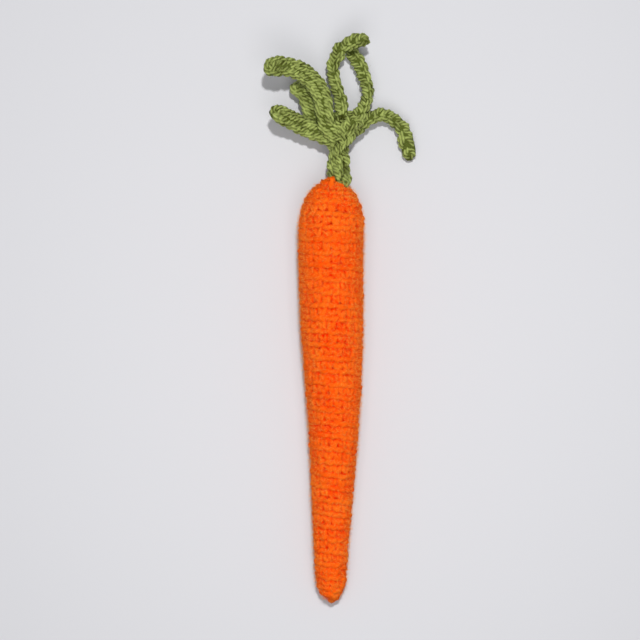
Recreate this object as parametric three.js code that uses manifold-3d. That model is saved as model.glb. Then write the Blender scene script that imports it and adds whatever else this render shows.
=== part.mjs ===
// A crocheted carrot lying on its side. The orange skin is worked from the tip to the crown in one long
// spiral of stitches and is packed with stuffing. The green top is a short crocheted stem, sewn into the
// crown, with six crocheted fronds. Millimetres, +Z up, +Y from the tip to the fronds. The origin is on the
// surface the carrot lies on, below the middle of its box.

import * as THREE from "three";
import { mergeVertices } from "three/addons/utils/BufferGeometryUtils.js";
import Module from "manifold-3d";

const { lerp, mapLinear } = THREE.MathUtils;

// Body: radii are over the stitch ridges, and lengths run along the axis from the tip.
const BODY_LENGTH = 190;
const TIP_LENGTH = 11;
const TIP_RADIUS = 7.2;
const TAPER_END = 121;
const BARREL_RADIUS = 14.3;
const SHOULDER_START = 165;
const SHOULDER_RADIUS = 15;
const TIP_FULLNESS = 1.7;
const SHOULDER_FULLNESS = 2.6;

// The axis rises towards the crown and bows a little to each side.
const AXIS_HEIGHT_AT_TIP = 8.26;
const AXIS_RISE = 0.04;
const AXIS_SIDE = 0.3;
const BOW = 0.6;
const BOW_WAVE = 150;
const BOW_START = 45;

// The skin: a spiral of stitches, with this much between its ridges and its grooves.
const ROUND_PITCH = 5.85;
const STITCH_WIDTH = 4.65;
const FEWEST_STITCHES = 6;
const GROOVE_DEPTH = 0.6;
const HOLE_DEPTH = 0.8;
const RIDGE_AT = 0.78;
const HOLE_AT = 0.06;
const OUTLINE_STEP = 0.1;

// The room inside the skin stops short of both ends of the body.
const SKIN_THICKNESS = 2.6;
const ROOM_END = 3.6;
const ROOM_END_RADIUS = 1;
const ROOM_SIDES = 14;
const ROOM_RINGS = 14;

// The nub where the skin's last stitch is drawn over the foot of the stem.
const NUB = { centre: [0.2, -1.6, 21.2], size: [3.6, 6, 4.6] };

// The green top. Places are from the crown, with heights above the surface.
const GAP = 0.3;
const STEM_SIDES = 12;
const STEM_RINGS = 20;
const STEM_KNOB = 0.3;
const STEM_SECTIONS = [
  { centre: [2.6, -7, 18.6], width: 6, thickness: 5.2 },
  { centre: [3.1, -1, 17.4], width: 10.4, thickness: 7.8 },
  { centre: [3.2, 5, 15], width: 11.4, thickness: 8.2 },
  { centre: [3.4, 13, 13.7], width: 9.8, thickness: 7.6 },
  { centre: [3.9, 18, 13.7], width: 12, thickness: 8 },
  { centre: [4.5, 22.5, 13.7], width: 17.6, thickness: 8.4 },
  { centre: [4.7, 27, 13.7], width: 20, thickness: 8.2 },
  { centre: [4.8, 30.2, 13.7], width: 15, thickness: 6.4 },
  { centre: [4.8, 31.4, 13.7], width: 7, thickness: 3.2 },
];

// A frond's widths are at its root, its middle and its tip.
const FROND_THICKNESS = 3.6;
const FROND_GAP = 0.45;
const FROND_PITCH = 4.5;
const FROND_SIDES = 8;
const FROND_RINGS_PER_STITCH = 3;
const FROND_BUMP = 0.16;
const FROND_CHEVRON = 1.4;
const FROND_GROOVE = 0.6;
const FROND_LOBE = 1.05;
const FROND_BLUNTNESS = 0.45;
const FRONDS = [
  {
    name: "frond_left_low",
    widths: [8, 8.4, 8.8],
    route: [[4.5, 18, 13.7], [0.2, 18.6, 13.7], [-4, 20.5, 13.7], [-8.4, 22.2, 13.8], [-12.8, 24.1, 14.2],
      [-17.2, 26.3, 16], [-20.6, 27.9, 19], [-24, 29.4, 21.6], [-27.6, 30, 22.6]],
  },
  {
    name: "frond_left_under",
    widths: [7.6, 8.2, 6.8],
    route: [[3.4, 19.4, 11.6], [-1.6, 22.2, 10.8], [-6.2, 25.8, 10.2], [-8.8, 29.6, 9.8], [-10, 33.4, 9.4],
      [-11.2, 37.2, 9], [-13.6, 40.6, 8.6], [-18.6, 43.4, 8.6]],
  },
  {
    name: "frond_left_high",
    widths: [8, 8.6, 9.2],
    route: [[3.4, 18.5, 14.4], [-0.6, 22.2, 16], [-2.9, 26.3, 16.8], [-3.5, 31.6, 16.6], [-4.2, 37.2, 16],
      [-5.9, 41.3, 16], [-8.9, 44.8, 17], [-12.6, 47.7, 19.2], [-17, 49.4, 21.8], [-22, 50.1, 23.8],
      [-27, 49.6, 24.6], [-30.4, 48.8, 24.4]],
  },
  {
    name: "frond_top",
    widths: [7, 5.8, 7.4],
    route: [[4.8, 22, 13.7], [4.7, 29, 13.4], [4.2, 35.5, 12], [2.4, 41.8, 10.4], [0.8, 48.2, 9.8],
      [0.9, 53.4, 10.6], [3.2, 58, 12], [7.2, 61.1, 14], [12, 62.6, 16.6], [15.8, 62, 19]],
  },
  {
    name: "frond_right_up",
    widths: [7.2, 5.6, 7.6],
    route: [[5.6, 20.5, 15.8], [9.6, 26.4, 15.4], [13.7, 31.8, 13.2], [16, 37.4, 10], [16, 43.2, 7.6],
      [14.4, 49, 6.4], [11.6, 55, 5.8], [7.4, 59.6, 5.4]],
  },
  {
    name: "frond_right_arch",
    widths: [7, 6.2, 7.8],
    route: [[5.8, 18.6, 11.5], [11.4, 23.8, 10.8], [16.8, 28, 9.4], [22.4, 30.1, 8], [28.2, 28, 6.6],
      [32.6, 23, 5.6], [34.6, 17, 4.8], [35.6, 10.6, 4]],
  },
];

// Where the crown lies from the origin, so that the origin is below the middle of the whole box.
const CROWN_X = -4;
const CROWN_Y = 62.05;

const wasm = await Module();
wasm.setup();

// The closed solid of a geometry, for joining and cutting.
function solidOf(geometry) {
  const bare = new THREE.BufferGeometry().setAttribute("position", geometry.getAttribute("position"));
  if (geometry.index) bare.setIndex(geometry.index);
  const merged = mergeVertices(bare);
  const vertProperties = merged.getAttribute("position").array;
  const triVerts = new Uint32Array(merged.index.array);
  return new wasm.Manifold(new wasm.Mesh({ numProp: 3, vertProperties, triVerts }));
}

// The geometry of a solid, with the normals of its facets.
function geometryOf(solid) {
  const { vertProperties, triVerts } = solid.getMesh();
  return closedGeometry(Array.from(vertProperties), Array.from(triVerts));
}

function closedGeometry(positions, indices) {
  const geometry = new THREE.BufferGeometry();
  geometry.setAttribute("position", new THREE.Float32BufferAttribute(positions, 3));
  geometry.setIndex(indices);
  geometry.computeVertexNormals();
  return geometry;
}

// A closed solid through rings of points that all turn the same way, flat at both ends.
function loft(rings) {
  const sides = rings[0].length;
  const positions = rings.flat().flatMap((point) => point.toArray());
  const indices = [];
  for (let ring = 0; ring + 1 < rings.length; ring++) {
    for (let side = 0; side < sides; side++) {
      const here = ring * sides + side;
      const beside = ring * sides + ((side + 1) % sides);
      indices.push(here, beside, here + sides, beside, beside + sides, here + sides);
    }
  }
  const last = (rings.length - 1) * sides;
  for (let side = 1; side + 1 < sides; side++) {
    indices.push(0, side + 1, side, last, last + side, last + side + 1);
  }
  return closedGeometry(positions, indices);
}

// The rounded end of a solid of length 1: 0 at its end and 1 where its full width begins.
function dome(share, fullness) {
  return Math.sqrt(Math.max(0, 1 - Math.pow(1 - share, fullness)));
}

// The body's radius over the stitch ridges.
function bodyRadius(along) {
  if (along < TIP_LENGTH) return TIP_RADIUS * dome(along / TIP_LENGTH, TIP_FULLNESS);
  if (along < TAPER_END) return mapLinear(along, TIP_LENGTH, TAPER_END, TIP_RADIUS, BARREL_RADIUS);
  if (along < SHOULDER_START) {
    return mapLinear(along, TAPER_END, SHOULDER_START, BARREL_RADIUS, SHOULDER_RADIUS);
  }
  return SHOULDER_RADIUS * dome((BODY_LENGTH - along) / (BODY_LENGTH - SHOULDER_START), SHOULDER_FULLNESS);
}

// A point round the body's axis. What would go below the surface is pressed flat on it.
function bodyPoint(along, radius, angle) {
  const height = AXIS_HEIGHT_AT_TIP + AXIS_RISE * along;
  const down = -Math.sin(angle);
  const reach = down > 0 ? Math.min(radius, height / down) : radius;
  const side = AXIS_SIDE + BOW * Math.sin((2 * Math.PI * (along - BOW_START)) / BOW_WAVE);
  return new THREE.Vector3(side + reach * Math.cos(angle), along, height - reach * down);
}

// The body's outline as a line of points, with each one's distance from the tip along the skin.
const outline = [{ along: 0, travelled: 0 }];
for (let along = OUTLINE_STEP; along <= BODY_LENGTH + OUTLINE_STEP / 2; along += OUTLINE_STEP) {
  const rise = bodyRadius(along) - bodyRadius(along - OUTLINE_STEP);
  const travelled = outline[outline.length - 1].travelled + Math.hypot(OUTLINE_STEP, rise);
  outline.push({ along, travelled });
}
const skinLength = outline[outline.length - 1].travelled;

// The place along the axis of a point of the skin, from its distance from the tip along the skin.
function alongAt(travelled) {
  const next = Math.max(1, outline.findIndex((point) => point.travelled >= travelled));
  const [a, b] = [outline[next - 1], outline[next]];
  return mapLinear(travelled, a.travelled, b.travelled, a.along, b.along);
}

// How far the skin lies below its ridges, at a share of a stitch across and of a round up. The relief fades
// out where the rounds are small.
function reliefDepth(radius, across, up) {
  const strength = Math.min(1, radius / TIP_RADIUS);
  const groove = 0.5 - 0.5 * Math.cos(2 * Math.PI * (up - RIDGE_AT));
  const holeAcross = Math.max(0, -Math.cos(2 * Math.PI * across));
  const holeUp = Math.max(0, Math.cos(2 * Math.PI * (up - HOLE_AT)));
  return strength * (GROOVE_DEPTH * groove + HOLE_DEPTH * holeAcross * holeUp);
}

// The outside of the skin. Three lanes run side by side along the spiral, through the holes, the legs and the
// ridges of the stitches, and each lane has a point at the middle and at the edge of every stitch.
function spiralSkin() {
  const lanes = [HOLE_AT, (HOLE_AT + RIDGE_AT) / 2, RIDGE_AT].map((up) => ({ up, points: [] }));
  const positions = [];
  const indices = [];
  const add = (point) => positions.push(...point.toArray()) / 3 - 1;
  const rounds = Math.floor(skinLength / ROUND_PITCH) - 1;
  const underneath = -Math.PI / 2;

  for (let round = 0; round < rounds; round++) {
    const girth = 2 * Math.PI * bodyRadius(alongAt((round + 0.5) * ROUND_PITCH));
    const stitches = Math.max(FEWEST_STITCHES, Math.round(girth / STITCH_WIDTH));
    const isLast = round === rounds - 1;
    for (let half = 0; half < 2 * stitches + (isLast ? 1 : 0); half++) {
      const turn = round + half / (2 * stitches);
      const across = (half % 2) / 2;
      for (const lane of lanes) {
        const along = alongAt(ROUND_PITCH * (turn + lane.up));
        const ridge = bodyRadius(along);
        const radius = ridge - reliefDepth(ridge, across, lane.up);
        const point = bodyPoint(along, radius, underneath + 2 * Math.PI * turn);
        lane.points.push({ turn, index: add(point) });
      }
    }
  }

  // Fills the band between two rows of points, the upper one a number of turns further on.
  const bridge = (lower, upper, turnsOn) => {
    let i = 0;
    let j = 0;
    while (i + 1 < lower.length || j + 1 < upper.length) {
      const stepLower = j + 1 >= upper.length ||
        (i + 1 < lower.length && lower[i + 1].turn <= upper[j + 1].turn - turnsOn);
      const next = stepLower ? lower[i + 1] : upper[j + 1];
      indices.push(lower[i].index, upper[j].index, next.index);
      if (stepLower) i++;
      else j++;
    }
  };
  const [holes, legs, ridges] = lanes.map((lane) => lane.points);
  bridge(holes, legs, 0);
  bridge(legs, ridges, 0);
  const firstTurn = holes.filter((point) => point.turn <= 1);
  const lastTurn = ridges.filter((point) => point.turn >= rounds - 1);
  bridge(ridges.filter((point) => point.turn <= rounds - 1), holes.filter((point) => point.turn >= 1), 1);

  // Closes the tip and the crown with a fan round a point on the axis.
  const fan = (centre, rim) => rim.forEach((point, i) => {
    indices.push(centre, point.index, rim[(i + 1) % rim.length].index);
  });
  fan(add(bodyPoint(0, 0, 0)), [...firstTurn, ridges[0], legs[0]]);
  fan(add(bodyPoint(BODY_LENGTH, 0, 0)), [holes.at(-1), legs.at(-1), ...lastTurn.reverse()]);
  return closedGeometry(positions, indices);
}

// The room inside the skin, or a filling that stands clear of it.
function room(clearance) {
  const start = ROOM_END + clearance;
  const end = BODY_LENGTH - ROOM_END - clearance;
  const rings = Array.from({ length: ROOM_RINGS + 1 }, (_, ring) => {
    const along = lerp(start, end, 0.5 - 0.5 * Math.cos((Math.PI * ring) / ROOM_RINGS));
    const radius = Math.max(ROOM_END_RADIUS, bodyRadius(along) - SKIN_THICKNESS) - clearance;
    const angles = Array.from({ length: ROOM_SIDES }, (_, side) => (-2 * Math.PI * side) / ROOM_SIDES);
    return angles.map((angle) => bodyPoint(along, radius, angle));
  });
  return loft(rings);
}

// The nub of the skin's last stitch.
function nub() {
  const ball = new THREE.SphereGeometry(0.5, 12, 8);
  ball.scale(...NUB.size).translate(...NUB.centre).translate(0, BODY_LENGTH, 0);
  return ball;
}

// The stem's section at a share of the way from its root to its top.
function stemSection(share) {
  const place = share * (STEM_SECTIONS.length - 1);
  const index = Math.min(STEM_SECTIONS.length - 2, Math.floor(place));
  const [below, above] = STEM_SECTIONS.slice(index, index + 2);
  const between = (read) => lerp(read(below), read(above), place - index);
  return {
    centre: [0, 1, 2].map((axis) => between((section) => section.centre[axis])),
    width: between((section) => section.width),
    thickness: between((section) => section.thickness),
  };
}

// The stem, from its root in the skin to the fan that the fronds grow from, with a knobbly face of stitches.
function stem(grow) {
  const rings = Array.from({ length: STEM_RINGS + 1 }, (_, ring) => {
    const { centre: [x, y, z], width, thickness } = stemSection(ring / STEM_RINGS);
    const lengthen = grow * ((ring === STEM_RINGS ? 1 : 0) - (ring === 0 ? 1 : 0));
    return Array.from({ length: STEM_SIDES }, (_, side) => {
      const angle = (-2 * Math.PI * side) / STEM_SIDES;
      const knob = STEM_KNOB * Math.cos(Math.PI * (ring + side));
      const across = (width / 2 + grow + knob) * Math.cos(angle);
      const over = (thickness / 2 + grow + knob) * Math.sin(angle);
      return new THREE.Vector3(x + across, y + lengthen, z + over);
    });
  });
  return loft(rings);
}

// A frond: two rows of stitch legs side by side along a route, round at the tip. Each ring of points is bent
// to a chevron, as the stitches are.
function frond({ widths, route }, grow) {
  const [rootWidth, middleWidth, tipWidth] = widths.map((width) => width + 2 * grow);
  const thickness = FROND_THICKNESS + 2 * grow;
  const curve = new THREE.CatmullRomCurve3(route.map((point) => new THREE.Vector3(...point)));
  const length = curve.getLength();
  const ringCount = FROND_RINGS_PER_STITCH * Math.round(length / FROND_PITCH);
  const up = new THREE.Vector3(0, 0, 1);
  const rings = [];
  for (let ring = 0; ring <= ringCount; ring++) {
    const share = ring / ringCount;
    const width = share < 0.5
      ? mapLinear(share, 0, 0.5, rootWidth, middleWidth)
      : mapLinear(share, 0.5, 1, middleWidth, tipWidth);
    const toTip = ((1 - share) * length) / (width / 2);
    const taper = Math.max(FROND_BLUNTNESS, dome(Math.min(1, toTip), 2));
    const bump = 1 - FROND_BUMP * (0.5 + 0.5 * Math.cos((2 * Math.PI * ring) / FROND_RINGS_PER_STITCH));
    const chevron = ring > 0 && ring < ringCount ? FROND_CHEVRON * taper : 0;
    const tangent = curve.getTangentAt(share);
    const across = new THREE.Vector3().crossVectors(tangent, up).normalize();
    const over = new THREE.Vector3().crossVectors(across, tangent);
    rings.push(Array.from({ length: FROND_SIDES }, (_, side) => {
      const angle = (-2 * Math.PI * side) / FROND_SIDES;
      const lateral = Math.cos(angle);
      const height = Math.sin(angle) * (FROND_GROOVE + FROND_LOBE * Math.abs(lateral));
      return curve.getPointAt(share)
        .addScaledVector(across, (width / 2) * lateral * taper * bump)
        .addScaledVector(over, (thickness / 2) * height * taper * bump)
        .addScaledVector(tangent, chevron * (Math.abs(lateral) - 0.5));
    }));
  }
  return loft(rings);
}

// Acrylic and cotton yarn, and polyester stuffing.
const orangeYarn = new THREE.MeshStandardMaterial({ color: 0xf2601a, roughness: 0.9, metalness: 0 });
const greenYarn = new THREE.MeshStandardMaterial({ color: 0x788a3e, roughness: 0.75, metalness: 0 });
const polyester = new THREE.MeshStandardMaterial({ color: 0xf4f2ec, roughness: 1, metalness: 0 });

function piece(name, geometry, material) {
  const mesh = new THREE.Mesh(geometry, material);
  mesh.name = name;
  return mesh;
}

const stemInBody = solidOf(stem(GAP).translate(0, BODY_LENGTH, 0));
const skin = solidOf(spiralSkin()).add(solidOf(nub())).subtract(solidOf(room(0))).subtract(stemInBody);
const stuffing = solidOf(room(GAP)).subtract(stemInBody);

const body = new THREE.Group();
body.position.set(CROWN_X, CROWN_Y - BODY_LENGTH, 0);
body.add(piece("body_skin", geometryOf(skin), orangeYarn));
body.add(piece("stuffing", geometryOf(stuffing), polyester));

const top = new THREE.Group();
top.position.set(CROWN_X, CROWN_Y, 0);
top.add(piece("leaf_stem", stem(0), greenYarn));

// Each frond stands clear of the stem and of the fronds before it.
const taken = [solidOf(stem(GAP))];
for (const each of FRONDS) {
  const cut = taken.reduce((rest, other) => rest.subtract(other), solidOf(frond(each, 0))).decompose();
  const outer = cut.reduce((most, next) => (next.volume() > most.volume() ? next : most));
  top.add(piece(each.name, geometryOf(outer), greenYarn));
  taken.push(solidOf(frond(each, FROND_GAP)));
}

const carrot = new THREE.Group();
carrot.add(body, top);

export default carrot;
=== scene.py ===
"""The crocheted carrot, dressed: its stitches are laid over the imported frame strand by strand."""
import logging
import math
from dataclasses import dataclass, field
from enum import Enum
from typing import Any, Callable, Mapping, Sequence

import bpy
import numpy as np
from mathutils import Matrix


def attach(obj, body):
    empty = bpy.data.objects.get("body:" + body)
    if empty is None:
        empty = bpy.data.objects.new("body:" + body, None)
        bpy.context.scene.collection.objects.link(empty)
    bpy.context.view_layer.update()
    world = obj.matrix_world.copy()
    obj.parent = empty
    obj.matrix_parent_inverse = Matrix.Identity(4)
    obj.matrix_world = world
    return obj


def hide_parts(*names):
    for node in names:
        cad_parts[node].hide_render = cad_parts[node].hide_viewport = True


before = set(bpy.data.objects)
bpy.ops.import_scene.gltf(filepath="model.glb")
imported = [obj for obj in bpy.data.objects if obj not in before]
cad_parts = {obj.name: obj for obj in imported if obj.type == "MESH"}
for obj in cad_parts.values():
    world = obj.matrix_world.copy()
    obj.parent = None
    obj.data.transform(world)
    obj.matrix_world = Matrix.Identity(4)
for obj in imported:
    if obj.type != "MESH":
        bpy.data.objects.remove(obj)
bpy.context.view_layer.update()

MM = 0.001
FULL_TURN = 2 * math.pi
LOG = logging.getLogger("carrot")

# Where the crown lies from the origin, in millimetres.
CROWN_X = -4.0
CROWN_Y = 62.05

# How far apart a yarn's lumps are, and how far a backing stays above the floor, in millimetres.
LUMP_SPACING = 1.6
FLOOR_CLEARANCE = 0.1

# A noise texture's values lie about this one.
NOISE_MIDDLE = 0.5

# How far the single points of a stitch stray, as a share of how far the whole stitch does.
POINT_STRAY = 1 / 3


class Twist(Enum):
    """Which way a yarn's plies turn about it."""

    S = -1
    Z = 1


class Stitch(Enum):
    """The yarn's route through one stitch, as points of it.

    A ROUND stitch gives shares of its width and of the round's height, and millimetres out from the ridges.
    The yarn comes up one leg, runs along the ridge and goes down the other leg. A CHAIN stitch gives shares
    of its length and half width, and millimetres up from the middle. It is a loop, drawn through the loop
    before.
    """

    ROUND = (
        (0.48, 0.00, -3.3),
        (0.45, 0.10, -2.2),
        (0.38, 0.23, -1.45),
        (0.27, 0.39, -1.3),
        (0.20, 0.52, -1.6),
        (0.16, 0.63, -2.6),
        (0.02, 0.88, -3.3),
        (-0.14, 1.02, -2.4),
        (-0.04, 0.97, -1.5),
        (0.16, 0.90, -1.15),
        (0.42, 0.86, -1.05),
        (0.70, 0.87, -1.15),
        (0.92, 0.92, -1.8),
        (1.04, 0.98, -2.8),
        (0.98, 0.84, -3.3),
        (0.84, 0.63, -2.6),
        (0.80, 0.52, -1.6),
        (0.73, 0.39, -1.3),
        (0.62, 0.23, -1.45),
        (0.55, 0.10, -2.2),
        (0.52, 0.00, -3.3),
    )
    CHAIN = (
        (0.00, -0.12, 0.35),
        (0.28, -0.52, 0.80),
        (0.60, -0.90, 0.70),
        (0.92, -1.00, 0.15),
        (1.12, -0.75, -0.60),
        (1.20, 0.00, -0.90),
        (1.12, 0.75, -0.60),
        (0.92, 1.00, 0.15),
        (0.60, 0.90, 0.70),
        (0.28, 0.52, 0.80),
        (0.00, 0.12, 0.35),
        (-0.14, 0.05, -0.45),
        (0.25, 0.00, -1.05),
        (0.70, 0.00, -0.95),
    )


@dataclass(frozen=True)
class Yarn:
    """A spun yarn, in millimetres.

    Each ply's groove is ply_depth of the radius deep, and the plies turn once about the yarn in lay. Lumps
    gives the height of its lumps as a share of the radius. Its mesh has a ring of points every ring_step.
    """

    radius: float
    plies: int
    ply_depth: float
    lay: float
    twist: Twist
    lumps: float
    ring_step: float
    sides: int


ORANGE_YARN = Yarn(radius=1.5, plies=3, ply_depth=0.1, lay=7.0, twist=Twist.S, lumps=1.4, ring_step=0.7,
                   sides=10)
GREEN_YARN = Yarn(radius=1.1, plies=3, ply_depth=0.2, lay=6.0, twist=Twist.S, lumps=0.48, ring_step=0.5,
                  sides=12)


@dataclass(frozen=True)
class Hair:
    """Loose fibres on a surface, in millimetres.

    Density is how many there are to a square millimetre. Each runs through two points, or through more
    where it is bent. They are thicker than real ones, so that they show.
    """

    density: float
    length: float
    radius: float
    points: int


ORANGE_NAP = Hair(density=1.75, length=1.0, radius=0.03, points=2)
ORANGE_FUZZ = Hair(density=1.0, length=1.5, radius=0.025, points=3)
GREEN_FUZZ = Hair(density=0.4, length=1.5, radius=0.018, points=3)

# The curve of a hair of length 1, by its handle and its end, and how smoothly it is drawn before its points
# are counted out.
HAIR_HANDLE = (0.15, 0.0, 0.65)
HAIR_END = (0.75, 0.1, 0.8)
HAIR_SMOOTHNESS = 8
HAIR_SIDES = 3

# How far a hair leans over, in radians, and its smallest and largest share of its length.
HAIR_LEAN = 0.7
HAIR_SIZES = (0.45, 1.3)


def worked(stitch: Stitch, count: int, rng: np.random.Generator, wander: Sequence[float],
           lean: float) -> np.ndarray:
    """A row of stitches worked by hand, so that each lies a little out of place.

    Args:
        stitch: The kind of stitch.
        count: How many there are.
        rng: Where the differences come from.
        wander: How far a whole stitch strays each way.
        lean: How far a stitch leans to the side over its length.

    Returns:
        The points of the stitches, as stitches by points by three.
    """
    shape = np.array(stitch.value)
    strays = rng.normal(0, 1, (count, 1, 3)) + rng.normal(0, POINT_STRAY, (count, len(shape), 3))
    points = shape + strays * np.array(wander)
    points[..., 1] += lean * rng.normal(0, 1, (count, 1)) * (shape[:, 0] - shape[:, 0].mean())
    return points


def linear(code: str) -> tuple[float, float, float, float]:
    """A colour for a shader.

    Args:
        code: The colour as an sRGB hex value, such as "#f26018".

    Returns:
        Linear red, green and blue, and an alpha of 1.
    """
    channels = [int(code[i:i + 2], 16) / 255 for i in (1, 3, 5)]
    values = [c / 12.92 if c <= 0.04045 else ((c + 0.055) / 1.055) ** 2.4 for c in channels]
    return (values[0], values[1], values[2], 1.0)


def add_node(tree: bpy.types.NodeTree, kind: str, inputs: Mapping[Any, Any] | None = None,
             **settings: Any) -> bpy.types.Node:
    """Adds a node to a tree, with its settings, its values and its links.

    Args:
        tree: The tree that gets the node.
        kind: The node's type.
        inputs: What goes into each input, by its name or number: a value, or the output that it is
            linked to.
        **settings: The node's own properties.

    Returns:
        The new node.
    """
    node = tree.nodes.new(kind)
    for name, value in settings.items():
        setattr(node, name, value)
    for key, value in (inputs or {}).items():
        if isinstance(value, bpy.types.NodeSocket):
            tree.links.new(value, node.inputs[key])
        else:
            node.inputs[key].default_value = value
    return node


@dataclass(frozen=True)
class YarnFinish:
    """The look of a spun yarn: its colours, its gloss and the soft fibres on its face.

    The colour runs from deep to light, is painted darker in the grooves between the plies, and turns to a
    painted shade in the gaps over a given span of depths. Sizes are in millimetres. The fibres are drawn
    coarser than real ones, so that they show.
    """

    name: str
    deep: str
    light: str
    gap_shade: str
    gap_shade_depths: tuple[float, float]
    roughness: float
    specular: float
    fibre_spacing: float
    fibre_bump: float
    patch_size: float
    ply_shade: float
    fibre_stretch: float = 0.18
    shade_between: tuple[float, float] = (0.65, 1.35)
    relief: float = 0.35

    def material(self, yarn: Yarn) -> bpy.types.Material:
        """Makes the material.

        Args:
            yarn: The yarn that wears it, whose radius sets the fibres' scale.

        Returns:
            A material that reads the yarn's own attributes around, along, ply and sink.
        """
        material = bpy.data.materials.new(self.name)
        material.use_nodes = True
        tree = material.node_tree
        shader = tree.nodes["Principled BSDF"]
        around = add_node(tree, "ShaderNodeAttribute", attribute_name="around")
        along = add_node(tree, "ShaderNodeAttribute", attribute_name="along")
        lengthways = add_node(tree, "ShaderNodeCombineXYZ", {"Z": along.outputs["Fac"]})
        place = add_node(tree, "ShaderNodeVectorMath",
                         {0: around.outputs["Vector"], 1: lengthways.outputs["Vector"]}, operation="ADD")
        stretch = add_node(tree, "ShaderNodeMapping", {
            "Vector": place.outputs["Vector"], "Scale": (1, 1, self.fibre_stretch)})
        fibres = add_node(tree, "ShaderNodeTexNoise", {
            "Vector": stretch.outputs["Vector"], "Scale": yarn.radius / self.fibre_spacing, "Detail": 3.0,
            "Roughness": 0.6})
        coords = add_node(tree, "ShaderNodeTexCoord")
        patches = add_node(tree, "ShaderNodeTexNoise", {
            "Vector": coords.outputs["Object"], "Scale": 1 / (self.patch_size * MM), "Detail": 2.0})
        mottle = add_node(tree, "ShaderNodeMath",
                          {0: fibres.outputs["Fac"], 1: patches.outputs["Fac"]}, operation="ADD")
        # The grooves between the plies are pushed towards the deep colour: painted shade.
        ply = add_node(tree, "ShaderNodeAttribute", attribute_name="ply")
        shade = add_node(tree, "ShaderNodeMath", {
            0: ply.outputs["Fac"], 1: self.ply_shade, 2: mottle.outputs["Value"]}, operation="MULTIPLY_ADD")
        spread = add_node(tree, "ShaderNodeMapRange", {
            "Value": shade.outputs["Value"], "From Min": self.shade_between[0],
            "From Max": self.shade_between[1]})
        colour = add_node(tree, "ShaderNodeMix", {
            "Factor": spread.outputs["Result"], 6: linear(self.deep), 7: linear(self.light)},
            data_type="RGBA")
        # Points deep in the gaps turn towards a painted shade colour.
        sink = add_node(tree, "ShaderNodeAttribute", attribute_name="sink")
        gap_shade_share = add_node(tree, "ShaderNodeMapRange", {
            "Value": sink.outputs["Fac"], "From Min": self.gap_shade_depths[0],
            "From Max": self.gap_shade_depths[1]})
        gap_shaded_colour = add_node(tree, "ShaderNodeMix", {
            "Factor": gap_shade_share.outputs["Result"], 6: colour.outputs[2], 7: linear(self.gap_shade)},
            data_type="RGBA")
        relief = add_node(tree, "ShaderNodeBump", {
            "Height": fibres.outputs["Fac"], "Strength": self.fibre_bump, "Distance": self.relief * MM})
        tree.links.new(gap_shaded_colour.outputs[2], shader.inputs["Base Color"])
        tree.links.new(relief.outputs["Normal"], shader.inputs["Normal"])
        shader.inputs["Roughness"].default_value = self.roughness
        shader.inputs["Specular IOR Level"].default_value = self.specular
        shader.inputs["Specular Tint"].default_value = linear(self.light)
        return material


@dataclass(frozen=True)
class FibreFinish:
    """The look of loose fibre or of the backs of stitches: matt and mottled, with next to no gloss."""

    name: str
    deep: str
    light: str
    mottle: float
    relief: float = 0.4
    roughness: float = 1.0
    specular: float = 0.1

    def material(self) -> bpy.types.Material:
        """Makes the material.

        Returns:
            A material that is mottled at its real size.
        """
        material = bpy.data.materials.new(self.name)
        material.use_nodes = True
        tree = material.node_tree
        shader = tree.nodes["Principled BSDF"]
        coords = add_node(tree, "ShaderNodeTexCoord")
        mottling = add_node(tree, "ShaderNodeTexNoise", {
            "Vector": coords.outputs["Object"], "Scale": 1 / (self.mottle * MM), "Detail": 3.0})
        colour = add_node(tree, "ShaderNodeMix", {
            "Factor": mottling.outputs["Fac"], 6: linear(self.deep), 7: linear(self.light)},
            data_type="RGBA")
        relief = add_node(tree, "ShaderNodeBump", {
            "Height": mottling.outputs["Fac"], "Strength": self.relief, "Distance": self.mottle * MM})
        tree.links.new(colour.outputs[2], shader.inputs["Base Color"])
        tree.links.new(relief.outputs["Normal"], shader.inputs["Normal"])
        shader.inputs["Roughness"].default_value = self.roughness
        shader.inputs["Specular IOR Level"].default_value = self.specular
        return material


def new_tree(name: str, sockets: Sequence[tuple[str, str]]) -> tuple[bpy.types.NodeTree, bpy.types.Node]:
    """Starts a geometry tree.

    Args:
        name: The tree's name.
        sockets: Each input's name and socket type, after the geometry that comes in.

    Returns:
        The tree and its input node.
    """
    tree = bpy.data.node_groups.new(name, "GeometryNodeTree")
    tree.interface.new_socket("Geometry", in_out="INPUT", socket_type="NodeSocketGeometry")
    for label, kind in sockets:
        tree.interface.new_socket(label, in_out="INPUT", socket_type=kind)
    tree.interface.new_socket("Geometry", in_out="OUTPUT", socket_type="NodeSocketGeometry")
    return tree, tree.nodes.new("NodeGroupInput")


def end_tree(tree: bpy.types.NodeTree, given: bpy.types.Node, geometry: bpy.types.NodeSocket) -> None:
    """Ends a geometry tree: nothing goes below the floor, and the piece gets its material.

    Args:
        tree: The tree.
        given: Its input node, with a Material.
        geometry: The geometry that was made.
    """
    position = add_node(tree, "GeometryNodeInputPosition")
    split = add_node(tree, "ShaderNodeSeparateXYZ", {0: position.outputs[0]})
    height = add_node(tree, "ShaderNodeMath", {0: split.outputs["Z"], 1: 0.0}, operation="MAXIMUM")
    joined = add_node(tree, "ShaderNodeCombineXYZ", {
        "X": split.outputs["X"], "Y": split.outputs["Y"], "Z": height.outputs[0]})
    real = add_node(tree, "GeometryNodeRealizeInstances", {"Geometry": geometry})
    rested = add_node(tree, "GeometryNodeSetPosition", {
        "Geometry": real.outputs[0], "Position": joined.outputs[0]})
    smooth = add_node(tree, "GeometryNodeSetShadeSmooth", {"Geometry": rested.outputs[0]})
    dressed = add_node(tree, "GeometryNodeSetMaterial", {
        "Geometry": smooth.outputs[0], "Material": given.outputs["Material"]})
    add_node(tree, "NodeGroupOutput", {"Geometry": dressed.outputs[0]})


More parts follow.
